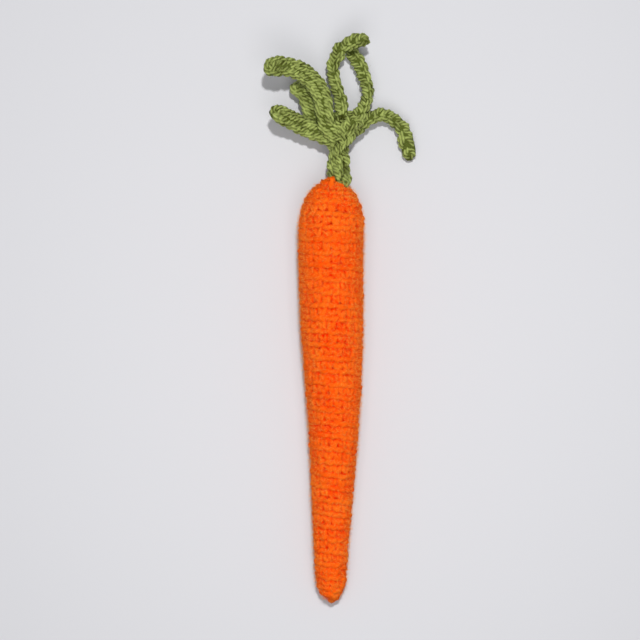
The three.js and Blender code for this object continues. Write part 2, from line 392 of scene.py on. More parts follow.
def spun_yarn_tree() -> bpy.types.NodeTree:
    """Makes the tree that spins a yarn along a line of points.

    Returns:
        A tree that sweeps a section with a lobe for each ply along the line, turning it as it goes.
    """
    tree, given = new_tree("spun_yarn", (
        ("Radius", "NodeSocketFloat"), ("Plies", "NodeSocketInt"), ("Ply Depth", "NodeSocketFloat"),
        ("Turn per Metre", "NodeSocketFloat"), ("Lumps", "NodeSocketFloat"),
        ("Ring Step", "NodeSocketFloat"), ("Sides", "NodeSocketInt"), ("Material", "NodeSocketMaterial")))
    line = add_node(tree, "GeometryNodeMeshToCurve", {"Mesh": given.outputs["Geometry"]})
    curve = add_node(tree, "GeometryNodeCurveSplineType", {"Curve": line.outputs[0]},
                     spline_type="CATMULL_ROM")
    even = add_node(tree, "GeometryNodeResampleCurve", {
        "Curve": curve.outputs[0], "Length": given.outputs["Ring Step"]}, mode="LENGTH")
    run = add_node(tree, "GeometryNodeSplineParameter")
    turn = add_node(tree, "ShaderNodeMath", {
        0: run.outputs["Length"], 1: given.outputs["Turn per Metre"]}, operation="MULTIPLY")
    twisted = add_node(tree, "GeometryNodeSetCurveTilt", {
        "Curve": even.outputs[0], "Tilt": turn.outputs[0]})
    share = add_node(tree, "ShaderNodeMath", {
        0: run.outputs["Length"], 1: given.outputs["Radius"]}, operation="DIVIDE")
    marked = add_node(tree, "GeometryNodeStoreNamedAttribute", {
        "Geometry": twisted.outputs[0], "Name": "along", "Value": share.outputs[0]},
        data_type="FLOAT", domain="POINT")

    circle = add_node(tree, "GeometryNodeCurvePrimitiveCircle", {
        "Resolution": given.outputs["Sides"], "Radius": 1.0})
    position = add_node(tree, "GeometryNodeInputPosition")
    ringed = add_node(tree, "GeometryNodeStoreNamedAttribute", {
        "Geometry": circle.outputs["Curve"], "Name": "around", "Value": position.outputs[0]},
        data_type="FLOAT_VECTOR", domain="POINT")
    factor = add_node(tree, "GeometryNodeSplineParameter")
    angle = add_node(tree, "ShaderNodeMath", {
        0: factor.outputs["Factor"], 1: FULL_TURN}, operation="MULTIPLY")
    lobes = add_node(tree, "ShaderNodeMath", {
        0: angle.outputs[0], 1: given.outputs["Plies"]}, operation="MULTIPLY")
    wave = add_node(tree, "ShaderNodeMath", {0: lobes.outputs[0]}, operation="COSINE")
    swell = add_node(tree, "ShaderNodeMath", {
        0: wave.outputs[0], 1: given.outputs["Ply Depth"], 2: 1.0}, operation="MULTIPLY_ADD")
    reach = add_node(tree, "ShaderNodeMath", {
        0: swell.outputs[0], 1: given.outputs["Radius"]}, operation="MULTIPLY")
    scaled = add_node(tree, "ShaderNodeVectorMath", {
        0: position.outputs[0], "Scale": reach.outputs[0]}, operation="SCALE")
    lobed = add_node(tree, "GeometryNodeStoreNamedAttribute", {
        "Geometry": ringed.outputs[0], "Name": "ply", "Value": wave.outputs[0]},
        data_type="FLOAT", domain="POINT")
    section = add_node(tree, "GeometryNodeSetPosition", {
        "Geometry": lobed.outputs[0], "Position": scaled.outputs[0]})
    swept = add_node(tree, "GeometryNodeCurveToMesh", {
        "Curve": marked.outputs[0], "Profile Curve": section.outputs[0], "Fill Caps": True})

    lumps = add_node(tree, "ShaderNodeTexNoise", {"Scale": 1 / (LUMP_SPACING * MM), "Detail": 1.0})
    rise = add_node(tree, "ShaderNodeMath", {
        0: lumps.outputs["Fac"], 1: NOISE_MIDDLE}, operation="SUBTRACT")
    lift = add_node(tree, "ShaderNodeMath", {
        0: rise.outputs[0], 1: given.outputs["Lumps"]}, operation="MULTIPLY")
    normal = add_node(tree, "GeometryNodeInputNormal")
    push = add_node(tree, "ShaderNodeVectorMath", {
        0: normal.outputs[0], "Scale": lift.outputs[0]}, operation="SCALE")
    lumpy = add_node(tree, "GeometryNodeSetPosition", {
        "Geometry": swept.outputs[0], "Offset": push.outputs[0]})
    end_tree(tree, given, lumpy.outputs[0])
    return tree


def fuzz_tree() -> bpy.types.NodeTree:
    """Makes the tree that sets loose fibres on a surface.

    Returns:
        A tree that scatters bent hairs, each at its own angle and size.
    """
    tree, given = new_tree("loose_fibres", (
        ("Density", "NodeSocketFloat"), ("Length", "NodeSocketFloat"), ("Thickness", "NodeSocketFloat"),
        ("Points", "NodeSocketInt"), ("Seed", "NodeSocketInt"), ("Material", "NodeSocketMaterial")))
    roots = add_node(tree, "GeometryNodeDistributePointsOnFaces", {
        "Mesh": given.outputs["Geometry"], "Density": given.outputs["Density"],
        "Seed": given.outputs["Seed"]})
    bend = add_node(tree, "GeometryNodeCurveQuadraticBezier", {
        "Resolution": HAIR_SMOOTHNESS, "Start": (0, 0, 0), "Middle": HAIR_HANDLE, "End": HAIR_END})
    spare = add_node(tree, "GeometryNodeResampleCurve", {
        "Curve": bend.outputs[0], "Count": given.outputs["Points"]}, mode="COUNT")
    sized = add_node(tree, "GeometryNodeSetPosition", {"Geometry": spare.outputs[0]})
    place = add_node(tree, "GeometryNodeInputPosition")
    grown = add_node(tree, "ShaderNodeVectorMath", {
        0: place.outputs[0], "Scale": given.outputs["Length"]}, operation="SCALE")
    tree.links.new(grown.outputs[0], sized.inputs["Position"])
    section = add_node(tree, "GeometryNodeCurvePrimitiveCircle", {
        "Resolution": HAIR_SIDES, "Radius": given.outputs["Thickness"]})
    hair = add_node(tree, "GeometryNodeCurveToMesh", {
        "Curve": sized.outputs[0], "Profile Curve": section.outputs["Curve"], "Fill Caps": True})
    lean = add_node(tree, "FunctionNodeRandomValue", {
        0: (-HAIR_LEAN, -HAIR_LEAN, 0.0), 1: (HAIR_LEAN, HAIR_LEAN, FULL_TURN),
        "Seed": given.outputs["Seed"]}, data_type="FLOAT_VECTOR")
    turned = add_node(tree, "FunctionNodeEulerToRotation", {"Euler": lean.outputs[0]})
    facing = add_node(tree, "FunctionNodeRotateRotation", {
        "Rotation": roots.outputs["Rotation"], "Rotate By": turned.outputs[0]}, rotation_space="LOCAL")
    size = add_node(tree, "FunctionNodeRandomValue", {
        2: HAIR_SIZES[0], 3: HAIR_SIZES[1], "Seed": given.outputs["Seed"]}, data_type="FLOAT")
    hairs = add_node(tree, "GeometryNodeInstanceOnPoints", {
        "Points": roots.outputs["Points"], "Instance": hair.outputs[0], "Rotation": facing.outputs[0],
        "Scale": size.outputs[1]})
    end_tree(tree, given, hairs.outputs[0])
    return tree


def grow(name: str, mesh: bpy.types.Mesh, tree: bpy.types.NodeTree,
         values: Mapping[str, Any]) -> bpy.types.Object:
    """Runs a geometry tree on a mesh and keeps the result as a plain piece.

    Args:
        name: The piece's name.
        mesh: What the tree starts from.
        tree: The tree.
        values: The tree's inputs, by name.

    Returns:
        A mesh object at the origin, with no modifier left on it.
    """
    piece = bpy.data.objects.new(name, mesh)
    bpy.context.scene.collection.objects.link(piece)
    modifier = piece.modifiers.new(tree.name, "NODES")
    modifier.node_group = tree
    for item in tree.interface.items_tree:
        if item.in_out == "INPUT" and item.name in values:
            modifier[item.identifier] = values[item.name]
    graph = bpy.context.evaluated_depsgraph_get()
    result = bpy.data.meshes.new_from_object(piece.evaluated_get(graph))
    piece.modifiers.remove(modifier)
    piece.data = result
    result.name = name
    bpy.data.meshes.remove(mesh)
    return piece


def line_mesh(name: str, routes: Sequence[np.ndarray]) -> bpy.types.Mesh:
    """A mesh of open lines.

    Args:
        name: The mesh's name.
        routes: Each line's points in millimetres.

    Returns:
        The lines, in metres.
    """
    edges = []
    first = 0
    for route in routes:
        edges += [(first + i, first + i + 1) for i in range(len(route) - 1)]
        first += len(route)
    mesh = bpy.data.meshes.new(name)
    mesh.from_pydata((np.concatenate(routes) * MM).tolist(), edges, [])
    return mesh


def ring_mesh(name: str, rings: np.ndarray) -> bpy.types.Mesh:
    """A closed mesh through rings of points, with a fan over each end.

    Args:
        name: The mesh's name.
        rings: Points in millimetres, as rings by sides by three.

    Returns:
        The mesh, in metres. Its faces point outwards if the rings turn anticlockwise about the way on.
    """
    count, sides = rings.shape[:2]
    points = [*rings.reshape(-1, 3), rings[0].mean(axis=0), rings[-1].mean(axis=0)]
    faces = []
    for ring in range(count - 1):
        for side in range(sides):
            here = ring * sides + side
            beside = ring * sides + (side + 1) % sides
            faces.append((here, beside, beside + sides, here + sides))
    last = (count - 1) * sides
    for side in range(sides):
        beside = (side + 1) % sides
        faces.append((beside, side, count * sides))
        faces.append((last + side, last + beside, count * sides + 1))
    mesh = bpy.data.meshes.new(name)
    mesh.from_pydata((np.array(points) * MM).tolist(), [], faces)
    mesh.shade_smooth()
    return mesh


def mark_sink(mesh: bpy.types.Mesh, depth: Callable[[np.ndarray], np.ndarray]) -> None:
    """Marks how deep each point of a yarn lies, for its shade.

    Args:
        mesh: The yarn, which gets an attribute named sink.
        depth: Gives the depths of points in millimetres.
    """
    points = np.empty(3 * len(mesh.vertices))
    mesh.vertices.foreach_get("co", points)
    sink = mesh.attributes.new("sink", "FLOAT", "POINT")
    sink.data.foreach_set("value", depth(points.reshape(-1, 3) / MM).astype(np.float32))


@dataclass
class Workbox:
    """The geometry trees and materials that the pieces share."""

    spin: bpy.types.NodeTree
    fuzz: bpy.types.NodeTree
    finishes: dict[str, bpy.types.Material]

    def yarn(self, name: str, routes: Sequence[np.ndarray], yarn: Yarn, finish: str) -> bpy.types.Object:
        """Spins a yarn along each route.

        Args:
            name: The piece's name.
            routes: The yarn's points along each, in millimetres.
            yarn: Its thickness and twist.
            finish: The name of its material.

        Returns:
            The piece.
        """
        return grow(name, line_mesh(name, routes), self.spin, {
            "Radius": yarn.radius * MM, "Plies": yarn.plies, "Ply Depth": yarn.ply_depth,
            "Turn per Metre": yarn.twist.value * FULL_TURN / (yarn.lay * MM),
            "Lumps": yarn.lumps * yarn.radius * MM, "Ring Step": yarn.ring_step * MM, "Sides": yarn.sides,
            "Material": self.finishes[finish]})

    def hairs(self, name: str, skin: np.ndarray, hair: Hair, seed: int, finish: str) -> bpy.types.Object:
        """Sets loose fibres on a closed surface.

        Args:
            name: The piece's name.
            skin: The surface's rings of points in millimetres.
            hair: The fibres' number and size.
            seed: The seed of their places and angles.
            finish: The name of their material.

        Returns:
            The piece.
        """
        return grow(name, ring_mesh(name, skin), self.fuzz, {
            "Density": hair.density / MM ** 2, "Length": hair.length * MM, "Thickness": hair.radius * MM,
            "Points": hair.points, "Seed": seed, "Material": self.finishes[finish]})

    def core(self, name: str, rings: np.ndarray, finish: str) -> bpy.types.Object:
        """Makes the plain backing that shows between the strands.

        Args:
            name: The piece's name.
            rings: Its rings of points in millimetres.
            finish: The name of its material.

        Returns:
            The piece.
        """
        rings = rings.copy()
        rings[..., 2] = np.maximum(rings[..., 2], FLOOR_CLEARANCE)
        piece = bpy.data.objects.new(name, ring_mesh(name, rings))
        piece.data.materials.append(self.finishes[finish])
        bpy.context.scene.collection.objects.link(piece)
        return piece


def keep(piece: bpy.types.Object, node: str | None = None) -> bpy.types.Object:
    """Hands a finished piece to the frame.

    Args:
        piece: The piece.
        node: The node that it stands for, if it does.

    Returns:
        The same piece.
    """
    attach(piece, "root")
    if node:
        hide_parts(node)
    LOG.info("%s: %d faces", piece.name, len(piece.data.polygons))
    return piece


@dataclass
class Body:
    """The orange body: a spiral of stitches over its backing, in millimetres as the frame has them.

    The joins are the rounds where one length of yarn ends and the next begins. Each later length starts
    with the last points of the round before, so that the join doesn't show. The lowest strands lie a share
    of the yarn's radius above the floor.
    """

    length: float = 190.0
    tip_length: float = 11.0
    tip_radius: float = 7.2
    taper_end: float = 121.0
    barrel_radius: float = 14.3
    shoulder_start: float = 165.0
    shoulder_radius: float = 15.0
    tip_fullness: float = 1.7
    shoulder_fullness: float = 2.6
    axis_height_at_tip: float = 8.26
    axis_rise: float = 0.04
    axis_side: float = 0.3
    bow: float = 0.6
    bow_wave: float = 150.0
    bow_start: float = 45.0
    round_pitch: float = 5.85
    stitch_width: float = 4.65
    fewest_stitches: int = 6
    full_depth_radius: float = 7.0
    inset: float = 0.5
    wander: tuple[float, float, float] = (0.045, 0.035, 0.16)
    lean: float = 0.05
    lowest_strand: float = 0.8
    joins: tuple[int, int] = (16, 25)
    join_points: int = 3
    backing_depth: float = 2.0
    backing_fill: float = 0.85
    nap_depth: float = 0.5
    hair_layers: int = 2
    pole_gap: float = 0.4
    outline_points: int = 4000
    nub: Sequence[tuple[float, float, float]] = (
        (-0.4, -5.2, 21.8), (-0.2, -2.8, 22.2), (0.1, -0.8, 21.9), (0.2, 0.1, 21.0), (0.2, -0.8, 20.2),
        (0.2, -2.8, 20.0))
    seed: int = 11
    outline: dict[str, np.ndarray] = field(default_factory=dict)

    def __post_init__(self) -> None:
        """Measures the outline along the skin, with its outward direction."""
        along = self.length * (0.5 - 0.5 * np.cos(np.linspace(0, math.pi, self.outline_points)))
        radius = self.radius(along)
        steps = np.hypot(np.diff(along), np.diff(radius))
        slope = np.gradient(radius), np.gradient(along)
        size = np.hypot(*slope)
        self.outline = {"along": along, "radius": radius,
                        "travelled": np.concatenate([[0], np.cumsum(steps)]),
                        "out_radial": slope[1] / size, "out_along": -slope[0] / size}

    def radius(self, along: np.ndarray) -> np.ndarray:
        """The body's radius over the stitch ridges.

        Args:
            along: Places along the axis, from the tip.

        Returns:
            The radius at each place.
        """
        tip = 1 - np.clip(along / self.tip_length, 0, 1)
        crown = np.clip((along - self.shoulder_start) / (self.length - self.shoulder_start), 0, 1)
        straight = np.interp(along, [self.tip_length, self.taper_end, self.shoulder_start],
                             [self.tip_radius, self.barrel_radius, self.shoulder_radius])
        tip_dome = np.sqrt(np.maximum(0, 1 - tip ** self.tip_fullness))
        crown_dome = np.sqrt(np.maximum(0, 1 - crown ** self.shoulder_fullness))
        return straight * tip_dome * crown_dome

    def side(self, along: np.ndarray) -> np.ndarray:
        """How far to the side the bowed axis lies at places along it."""
        return self.axis_side + self.bow * np.sin(FULL_TURN * (along - self.bow_start) / self.bow_wave)

    def height(self, along: np.ndarray) -> np.ndarray:
        """How high the axis lies at places along it."""
        return self.axis_height_at_tip + self.axis_rise * along

    def place(self, travelled: np.ndarray, turn: np.ndarray, out: np.ndarray, lowest: float) -> np.ndarray:
        """Points on or near the skin.

        Args:
            travelled: Distances from the tip along the skin.
            turn: Turns about the axis, from underneath.
            out: Distances out from the ridges.
            lowest: The least height above the surface.

        Returns:
            The points in the frame, in millimetres.
        """
        line = {name: np.interp(travelled, self.outline["travelled"], values)
                for name, values in self.outline.items()}
        depth = (out - self.inset) * np.minimum(1, line["radius"] / self.full_depth_radius)
        along = line["along"] + depth * line["out_along"]
        reach = line["radius"] + depth * line["out_radial"]
        angle = FULL_TURN * turn - math.pi / 2
        return np.stack([CROWN_X + self.side(along) + reach * np.cos(angle), CROWN_Y - self.length + along,
                         np.maximum(lowest, self.height(along) + reach * np.sin(angle))], axis=-1)

    def skin(self, out: float, sides: int = 48, rings: int = 120) -> np.ndarray:
        """Rings of points round the body.

        Args:
            out: How far out from the ridges they lie.
            sides: How many points a ring has.
            rings: How many rings there are.

        Returns:
            The points in millimetres, as rings by sides by three.
        """
        travelled = np.linspace(self.pole_gap, self.outline["travelled"][-1] - self.pole_gap, rings)
        turn = -np.arange(sides) / sides
        grid = np.meshgrid(travelled, turn, indexing="ij")
        return self.place(grid[0], grid[1], np.full_like(grid[0], out), FLOOR_CLEARANCE)

    def spiral(self, yarn: Yarn) -> list[np.ndarray]:
        """The yarn's route, round by round.

        Args:
            yarn: The yarn, whose radius keeps the lowest strands on the surface.

        Returns:
            The points of each round in millimetres.
        """
        rng = np.random.default_rng(self.seed)
        rounds = []
        skin_length = self.outline["travelled"][-1]
        for index in range(int(skin_length / self.round_pitch)):
            middle = (index + 0.5) * self.round_pitch
            girth = FULL_TURN * np.interp(middle, self.outline["travelled"], self.outline["radius"])
            stitches = max(self.fewest_stitches, round(girth / self.stitch_width))
            local = worked(Stitch.ROUND, stitches, rng, self.wander, self.lean)
            turn = index + (np.arange(stitches)[:, None] + local[..., 0]) / stitches
            travelled = np.clip(self.round_pitch * (turn + local[..., 1]), 0, skin_length)
            points = self.place(travelled, turn, local[..., 2], self.lowest_strand * yarn.radius)
            rounds.append(points.reshape(-1, 3))
        return rounds

    def depth(self, points: np.ndarray) -> np.ndarray:
        """How far below the ridges points lie.

        Args:
            points: The points in the frame, in millimetres.

        Returns:
            The depth of each.
        """
        x, y, z = points.T
        along = np.clip(y - CROWN_Y + self.length, 0, self.length)
        reach = np.hypot(x - CROWN_X - self.side(along), z - self.height(along))
        return self.radius(along) - self.inset - reach

    def build(self, box: Workbox) -> None:
        """Makes the backing, the yarn in three lengths, the nap on it and the fuzz.

        The nap and the fuzz come in layers, each few enough hairs for one piece.

        Args:
            box: The trees and materials.
        """
        # The backing is coloured deeper than the yarn, as painted shade between the strands.
        backing = box.core("body_backing", self.skin(-self.backing_depth), "orange_backing_shaded")
        keep(backing, "body_skin")
        rounds = self.spiral(ORANGE_YARN)
        first, second = self.joins
        lengths = {"body_yarn_tip": rounds[:first],
                   "body_yarn_middle": [rounds[first - 1][-self.join_points:], *rounds[first:second]],
                   "body_yarn_crown": [rounds[second - 1][-self.join_points:], *rounds[second:]]}
        for name, part in lengths.items():
            routes = [np.concatenate(part)]
            if name == "body_yarn_crown":
                routes.append(np.array(self.nub) + (CROWN_X, CROWN_Y, 0))
            yarn = box.yarn(name, routes, ORANGE_YARN, "orange_yarn")
            # Its depths set where the painted shade in the gaps falls.
            mark_sink(yarn.data, self.depth)
            keep(yarn, "body_skin")
        for layer in range(1, self.hair_layers + 1):
            nap = box.hairs(f"body_nap_{layer}", self.skin(-self.nap_depth), ORANGE_NAP, self.seed + layer,
                            "orange_nap")
            keep(nap)
            # These fibres are paler than the yarn: a painted highlight on the rim.
            fuzz = box.hairs(f"body_fuzz_{layer}", self.skin(0.0), ORANGE_FUZZ, self.seed - layer,
                             "orange_fuzz_painted_rim")
            keep(fuzz)


def between(place: np.ndarray, start: float, end: float, first: np.ndarray, last: np.ndarray) -> np.ndarray:
    """Values on the way from a first one at the start to a last one at the end.

    Args:
        place: Where the values are wanted.
        start: Where the first value is.
        end: Where the last value is.
        first: The first value, or values.
        last: The last value, or values.

    Returns:
        A value for each place.
    """
    return (end - place) / (end - start) * first + (place - start) / (end - start) * last


def smooth_route(points: Sequence[Sequence[float]], samples: int) -> np.ndarray:
    """A smooth line through points, a centripetal Catmull-Rom curve.

    Args:
        points: The points, chosen by hand.
        samples: How many points the line gets between each two.

    Returns:
        The line's points.
    """
    given = np.array(points, dtype=float)
    padded = np.vstack([2 * given[0] - given[1], given, 2 * given[-1] - given[-2]])
    line = []
    for a, b, c, d in zip(padded, padded[1:], padded[2:], padded[3:]):
        spans = [math.sqrt(math.dist(p, q)) for p, q in ((a, b), (b, c), (c, d))]
        knots = np.concatenate([[0], np.cumsum(spans)])
        t = np.linspace(knots[1], knots[2], samples, endpoint=False)[:, None]
        before = between(t, knots[0], knots[1], a, b)
        middle = between(t, knots[1], knots[2], b, c)
        after = between(t, knots[2], knots[3], c, d)
        left = between(t, knots[0], knots[2], before, middle)
        right = between(t, knots[1], knots[3], middle, after)
        line.append(between(t, knots[1], knots[2], left, right))
    return np.vstack([*line, given[-1:]])


@dataclass
class Frond:
    """A green frond: a chain of stitches along a route.

    The route's points are from the crown, with heights above the surface. The widths are at the root, the
    middle and the tip. The least values keep the narrow tip from closing up.
    """

    name: str
    widths: tuple[float, float, float]
    route: Sequence[tuple[float, float, float]]
    seed: int
    pitch: float = 4.0
    thickness: float = 3.6
    wander: tuple[float, float, float] = (0.08, 0.08, 0.16)
    lean: float = 0.25
    core_inset: float = 0.6
    fuzz_inset: float = 0.3
    least_spread: float = 0.35
    least_half_width: float = 0.4
    least_half_thickness: float = 0.3
    least_taper: float = 0.02
    route_samples: int = 40
    line: dict[str, np.ndarray] = field(default_factory=dict)

    def __post_init__(self) -> None:
        """Measures the route and the way that the strip faces along it."""
        centre = smooth_route(self.route, self.route_samples) + (CROWN_X, CROWN_Y, 0)
        run = np.concatenate([[0], np.cumsum(np.linalg.norm(np.diff(centre, axis=0), axis=1))])
        tangent = np.gradient(centre, run, axis=0)
        tangent /= np.linalg.norm(tangent, axis=1, keepdims=True)
        across = np.cross(tangent, (0, 0, 1))
        across /= np.linalg.norm(across, axis=1, keepdims=True)
        self.line = {"run": run, "centre": centre, "tangent": tangent, "across": across,
                     "over": np.cross(across, tangent)}

    @property
    def length(self) -> float:
        """The length of the route."""
        return float(self.line["run"][-1])

    def width(self, run: np.ndarray) -> np.ndarray:
        """The strip's width at places along the route."""
        return np.interp(run, [0, 0.5 * self.length, self.length], self.widths)

    def place(self, run: np.ndarray, aside: np.ndarray, up: np.ndarray) -> np.ndarray:
        """Points on or near the strip.

        Args:
            run: Distances along the route, which may pass its ends.
            aside: Distances to the side of it.
            up: Distances out of its face.

        Returns:
            The points in the frame, in millimetres.
        """
        inside = np.clip(run, 0, self.length)
        at = {name: np.stack([np.interp(inside, self.line["run"], values[:, i]) for i in range(3)], axis=-1)
              for name, values in self.line.items() if name != "run"}
        return (at["centre"] + (run - inside)[..., None] * at["tangent"] + aside[..., None] * at["across"]
                + up[..., None] * at["over"])

    def chain(self, yarn: Yarn) -> np.ndarray:
        """The yarn's route through one chain as wide as the strip.

        Args:
            yarn: The yarn, whose radius keeps its strands within the strip.

        Returns:
            The points in millimetres.
        """
        rng = np.random.default_rng(self.seed)
        reach = self.length - yarn.radius
        stitches = round(reach / self.pitch)
        local = worked(Stitch.CHAIN, stitches, rng, self.wander, self.lean)
        run = (np.arange(stitches)[:, None] + local[..., 0]) * reach / stitches
        spread = np.maximum(self.least_spread, self.width(run) / 2 * self.taper(run) - yarn.radius)
        return self.place(run, spread * local[..., 1], local[..., 2]).reshape(-1, 3)

    def taper(self, run: np.ndarray) -> np.ndarray:
        """How much of its width the strip keeps near its round tip."""
        to_tip = np.clip((self.length - run) / (self.widths[2] / 2), 0, 1)
        return np.sqrt(np.maximum(self.least_taper, 1 - (1 - to_tip) ** 2))

    def strip(self, shrink: float, sides: int = 16, rings: int = 60) -> np.ndarray:
        """Rings of points round the strip.

        Args:
            shrink: How far in from the strip's edges they lie.
            sides: How many points a ring has.
            rings: How many rings there are.

        Returns:
            The points in millimetres, as rings by sides by three.
        """
        run = np.linspace(0, self.length - shrink, rings)
        angle = -FULL_TURN * np.arange(sides) / sides
        half_width = np.maximum(self.least_half_width, self.width(run) / 2 - shrink)
        half_thickness = max(self.least_half_thickness, self.thickness / 2 - shrink)
        taper = self.taper(run)
        aside = (half_width * taper)[:, None] * np.cos(angle)
        up = (half_thickness * taper)[:, None] * np.sin(angle)
        return self.place(np.repeat(run[:, None], sides, axis=1), aside, up)

    def depth(self, points: np.ndarray) -> np.ndarray:
        """How far inside the strip points lie.

        Args:
            points: The points in the frame, in millimetres.

        Returns:
            The depth of each.
        """
        centre = self.line["centre"]
        nearest = np.argmin((centre ** 2).sum(axis=1) - 2 * points @ centre.T, axis=1)
        offset = points - centre[nearest]
        half_width = self.width(self.line["run"][nearest]) / 2
        half_thickness = self.thickness / 2
        past, aside, up = [(offset * self.line[way][nearest]).sum(axis=1)
                           for way in ("tangent", "across", "over")]
        share = np.sqrt((past ** 2 + aside ** 2) / half_width ** 2 + up ** 2 / half_thickness ** 2)
        return (1 - share) * half_thickness

    def build(self, box: Workbox) -> None:
        """Makes the chain of yarn, its core and its fuzz.

        Args:
            box: The trees and materials.
        """
        yarn = box.yarn(f"{self.name}_yarn", [self.chain(GREEN_YARN)], GREEN_YARN, "green_yarn")
        # Its depths set where the painted shade in the gaps falls.
        mark_sink(yarn.data, self.depth)
        keep(yarn, self.name)
        # The core is coloured darker than the yarn, as painted shade between the strands.
        keep(box.core(f"{self.name}_core", self.strip(self.core_inset), "green_backing_shaded"))
        fuzz = box.hairs(f"{self.name}_fuzz", self.strip(self.fuzz_inset), GREEN_FUZZ, self.seed,
                         "green_fuzz")
        keep(fuzz)


@dataclass
class WideFrond(Frond):
    """A frond whose chain runs out along one side and back along the other.

    Each side's lane is a share of the strip's width from the middle.
    """

    wander: tuple[float, float, float] = (0.08, 0.10, 0.16)
    lean: float = 0.35
    least_spread: float = 0.6
    lane: float = 0.24

    def chain(self, yarn: Yarn) -> np.ndarray:
        """The yarn's route through the chain, out to the tip and back.

        Args:
            yarn: The yarn, whose radius keeps its strands within the strip.

        Returns:
            The points in millimetres.
        """
        rng = np.random.default_rng(self.seed)
        bend_radius = self.lane * self.widths[2]
        reach = self.length - self.widths[2] / 2
        total = 2 * reach + math.pi * bend_radius
        stitches = round(total / self.pitch)
        local = worked(Stitch.CHAIN, stitches, rng, self.wander, self.lean)
        gone = (np.arange(stitches)[:, None] + local[..., 0]) * total / stitches
        bend = np.clip((gone - reach) / bend_radius, 0, math.pi)
        back = np.maximum(0, gone - reach - math.pi * bend_radius)
        run = np.minimum(gone, reach) + bend_radius * np.sin(bend) - back
        width = self.width(run)
        strand = np.maximum(self.least_spread, (0.5 - self.lane) * width - yarn.radius) * local[..., 1]
        aside = (self.lane * width + strand) * np.cos(bend)
        return self.place(run + strand * np.sin(bend), aside, local[..., 2]).reshape(-1, 3)


FRONDS = (
    WideFrond("frond_left_low", (8.0, 8.4, 8.8), (
        (4.5, 18.0, 13.7), (0.2, 18.6, 13.7), (-4.0, 20.5, 13.7), (-8.4, 22.2, 13.8), (-12.8, 24.1, 14.2),
        (-17.2, 26.3, 16.0), (-20.6, 27.9, 19.0), (-24.0, 29.4, 21.6), (-27.6, 30.0, 22.6)), seed=21),
    WideFrond("frond_left_under", (7.6, 8.2, 6.8), (
        (3.4, 19.4, 11.6), (-1.6, 22.2, 10.8), (-6.2, 25.8, 10.2), (-8.8, 29.6, 9.8), (-10.0, 33.4, 9.4),
        (-11.2, 37.2, 9.0), (-13.6, 40.6, 8.6), (-18.6, 43.4, 8.6)), seed=22),
    WideFrond("frond_left_high", (8.0, 8.6, 9.2), (
        (3.4, 18.5, 14.4), (-0.6, 22.2, 16.0), (-2.9, 26.3, 16.8), (-3.5, 31.6, 16.6), (-4.2, 37.2, 16.0),
        (-5.9, 41.3, 16.0), (-8.9, 44.8, 17.0), (-12.6, 47.7, 19.2), (-17.0, 49.4, 21.8),
        (-22.0, 50.1, 23.8), (-27.0, 49.6, 24.6), (-30.4, 48.8, 24.4)), seed=23),
    Frond("frond_top", (7.0, 5.8, 7.4), (
        (4.8, 22.0, 13.7), (4.7, 29.0, 13.4), (4.2, 35.5, 12.0), (2.4, 41.8, 10.4), (0.8, 48.2, 9.8),
        (0.9, 53.4, 10.6), (3.2, 58.0, 12.0), (7.2, 61.1, 14.0), (12.0, 62.6, 16.6),
        (15.8, 62.0, 19.0)), seed=24),
    Frond("frond_right_up", (7.2, 5.6, 7.6), (
        (5.6, 20.5, 15.8), (9.6, 26.4, 15.4), (13.7, 31.8, 13.2), (16.0, 37.4, 10.0), (16.0, 43.2, 7.6),
        (14.4, 49.0, 6.4), (11.6, 55.0, 5.8), (7.4, 59.6, 5.4)), seed=25),
    Frond("frond_right_arch", (7.0, 6.2, 7.8), (
        (5.8, 18.6, 11.5), (11.4, 23.8, 10.8), (16.8, 28.0, 9.4), (22.4, 30.1, 8.0), (28.2, 28.0, 6.6),
        (32.6, 23.0, 5.6), (34.6, 17.0, 4.8), (35.6, 10.6, 4.0)), seed=26),
)


